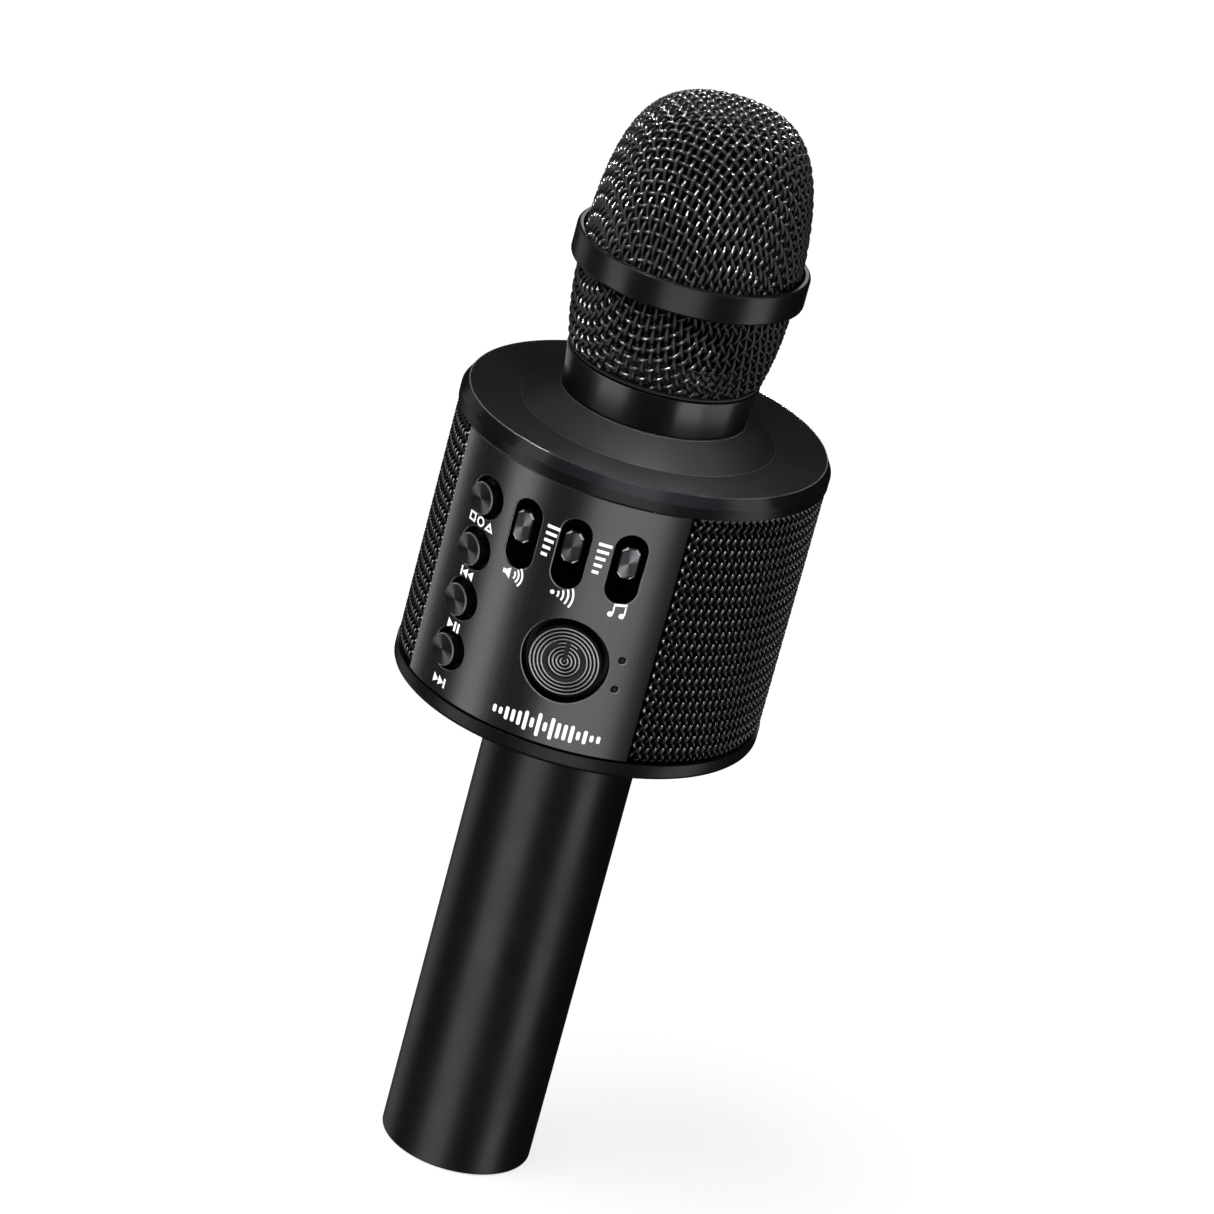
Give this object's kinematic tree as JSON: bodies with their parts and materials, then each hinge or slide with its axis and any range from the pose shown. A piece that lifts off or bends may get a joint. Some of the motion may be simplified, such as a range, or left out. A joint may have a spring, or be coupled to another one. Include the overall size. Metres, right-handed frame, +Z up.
{
  "type": "karaoke microphone",
  "caption": "Handheld karaoke microphone with a battery handle, a drum-shaped loudspeaker barrel with push buttons and slider knobs, and a screw-on wire grille head.",
  "frame": {"origin": "centre of the flat lower end of the handle", "axes": "+Z up the microphone's axis from the handle to the grille, -Y out of the middle of the control panel, +X to its right as a person facing the panel sees it"},
  "size_m": [0.083, 0.0838, 0.2564],
  "materials": {
    "handle_black": "satin black paint on the handle tube",
    "housing_black": "fine satin black plastic",
    "panel_charcoal": "satin charcoal coating",
    "mesh_black": "black woven wire",
    "cap_satin": "satin black with a glossy chamfer",
    "button_metal": "dark metal with circular brushing",
    "ring_black": "satin black metal",
    "inner_plastic": "plain black plastic",
    "board_green": "solder mask",
    "steel": "plain steel",
    "cell_wrap": "shrink wrap over a metal can",
    "cloth_black": "black acoustic cloth",
    "foam_black": "open-cell foam",
    "rubber_black": "soft rubber",
    "cone_paper": "coated paper",
    "light_pipe": "smoked clear plastic",
    "lead_red": "insulated wire"
  },
  "bodies": {
    "root": {"handle_tube": "handle_black", "end_cap": "housing_black", "usb_socket": "steel", "audio_socket": "inner_plastic", "card_socket": "steel", "charge_board": "board_green", "battery_cell": "cell_wrap", "battery_cradle": "inner_plastic", "battery_spring": "steel", "battery_lead": "lead_red", "handle_screw_left": "steel", "handle_screw_right": "steel", "lower_housing": "housing_black", "housing_screw_left": "steel", "housing_screw_right": "steel", "housing_screw_rear": "steel", "body_frame": "inner_plastic", "speaker_mesh": "mesh_black", "dust_cloth": "cloth_black", "control_panel": "panel_charcoal", "top_cap": "cap_satin", "light_shield": "cloth_black", "volume_potentiometer": "steel", "echo_potentiometer": "steel", "music_potentiometer": "steel", "mode_switch": "inner_plastic", "previous_switch": "inner_plastic", "play_switch": "inner_plastic", "next_switch": "inner_plastic", "power_switch": "inner_plastic", "main_board": "board_green", "button_board": "board_green", "light_pipe_upper": "light_pipe", "light_pipe_lower": "light_pipe", "speaker_chassis_left": "steel", "speaker_cone_left": "cone_paper", "speaker_magnet_left": "steel", "speaker_chassis_right": "steel", "speaker_cone_right": "cone_paper", "speaker_magnet_right": "steel", "neck": "cap_satin", "neck_nut": "inner_plastic", "capsule_post": "inner_plastic", "capsule_mount": "rubber_black", "microphone_capsule": "steel", "capsule_lead": "rubber_black"},
    "mode_button": {"mode_button": "button_metal"},
    "previous_button": {"previous_button": "button_metal"},
    "play_button": {"play_button": "button_metal"},
    "next_button": {"next_button": "button_metal"},
    "power_button": {"power_button": "button_metal"},
    "volume_knob": {"volume_knob": "button_metal"},
    "echo_knob": {"echo_knob": "button_metal"},
    "music_knob": {"music_knob": "button_metal"},
    "seal": {"sealing_ring": "rubber_black"},
    "head": {"head_collar": "ring_black", "lower_grille": "mesh_black", "grille_ring": "ring_black", "upper_grille": "mesh_black", "foam_filter": "foam_black"}
  },
  "joints": [
    {"name": "mode_press", "type": "slide", "parent": "root", "child": "mode_button", "axis": [0.4051, 0.9143, 0], "range_m": [0, 0.0006]},
    {"name": "previous_press", "type": "slide", "parent": "root", "child": "previous_button", "axis": [0.4051, 0.9143, 0], "range_m": [0, 0.0006]},
    {"name": "play_press", "type": "slide", "parent": "root", "child": "play_button", "axis": [0.4051, 0.9143, 0], "range_m": [0, 0.0006]},
    {"name": "next_press", "type": "slide", "parent": "root", "child": "next_button", "axis": [0.4051, 0.9143, 0], "range_m": [0, 0.0006]},
    {"name": "power_press", "type": "slide", "parent": "root", "child": "power_button", "axis": [-0.2588, 0.9659, 0], "range_m": [0, 0.0006]},
    {"name": "volume_slide", "type": "slide", "parent": "root", "child": "volume_knob", "axis": [0, 0, 1], "range_m": [-0.0059, 0.0019]},
    {"name": "echo_slide", "type": "slide", "parent": "root", "child": "echo_knob", "axis": [0, 0, 1], "range_m": [-0.0059, 0.0019]},
    {"name": "music_slide", "type": "slide", "parent": "root", "child": "music_knob", "axis": [0, 0, 1], "range_m": [-0.0059, 0.0019]},
    {"name": "head_lift", "type": "slide", "parent": "root", "child": "seal", "axis": [0, 0, 1], "range_m": [0, 0.0061]},
    {"name": "head_turn", "type": "hinge", "parent": "seal", "child": "head", "pos_m": [0, 0, 0.2], "axis": [0, 0, 1], "range_deg": [0, 720]}
  ],
  "couplings": [
    {"joint": "head_lift", "follows": "head_turn", "m_per_rad": 0.00047746}
  ]
}
